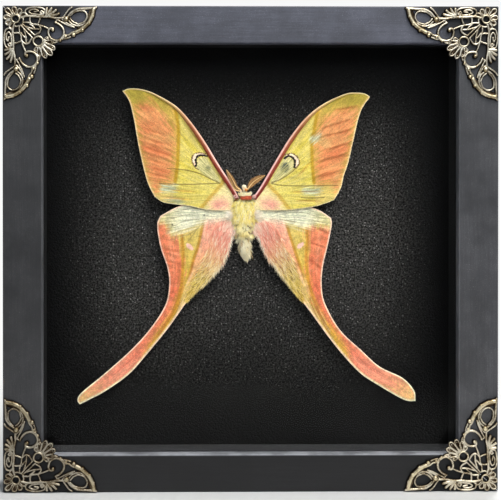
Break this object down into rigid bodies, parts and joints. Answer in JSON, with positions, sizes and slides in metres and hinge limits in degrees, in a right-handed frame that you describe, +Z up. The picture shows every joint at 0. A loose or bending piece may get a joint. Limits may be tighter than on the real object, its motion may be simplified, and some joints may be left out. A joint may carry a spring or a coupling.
{
  "type": "framed moth specimen",
  "caption": "Spread moon moth in a black wooden shadow-box frame with glass and pierced brass corners; stands on its lower edge or hangs on a wall.",
  "frame": {"origin": "on the resting plane, in the middle of the box's width and depth", "axes": "+X to the viewer's right, +Z up the frame, the glazed front faces -Y"},
  "size_m": [0.25, 0.034, 0.245],
  "materials": {
    "black_wood": "black satin paint with a faint brushed grain, worn lighter on the inner edge",
    "glass": "clear flat glass",
    "lining": "matt black painted strip",
    "black_paper": "black pebbled paper with tiny light specks",
    "backing": "plain brown fibreboard",
    "steel": "plain zinc-plated steel",
    "antique_brass": "antique brass, bright on the raised lines and dark in the hollows",
    "wing": "scaled wing membrane, yellow with orange to coral outer bands and ochre lines",
    "fur": "pale yellow down",
    "feather": "tan feathered antenna"
  },
  "bodies": {
    "root": {"frame_top_rail": "black_wood", "frame_bottom_rail": "black_wood", "frame_left_stile": "black_wood", "frame_right_stile": "black_wood", "glass_pane": "glass", "lining_top": "lining", "lining_bottom": "lining", "lining_left": "lining", "lining_right": "lining", "background_board": "black_paper", "backing_board": "backing", "tab_bottom_1": "steel", "tab_bottom_2": "steel", "tab_top_1": "steel", "tab_top_2": "steel", "tab_left_1": "steel", "tab_left_2": "steel", "tab_right_1": "steel", "tab_right_2": "steel", "sawtooth_hanger": "steel", "hanger_nail_left": "steel", "hanger_nail_right": "steel", "corner_top_left": "antique_brass", "corner_top_right": "antique_brass", "corner_bottom_left": "antique_brass", "corner_bottom_right": "antique_brass", "forewing_left": "wing", "forewing_right": "wing", "hindwing_left": "wing", "hindwing_right": "wing", "body": "fur", "head": "fur", "antenna_left": "feather", "antenna_right": "feather"}
  },
  "joints": []
}
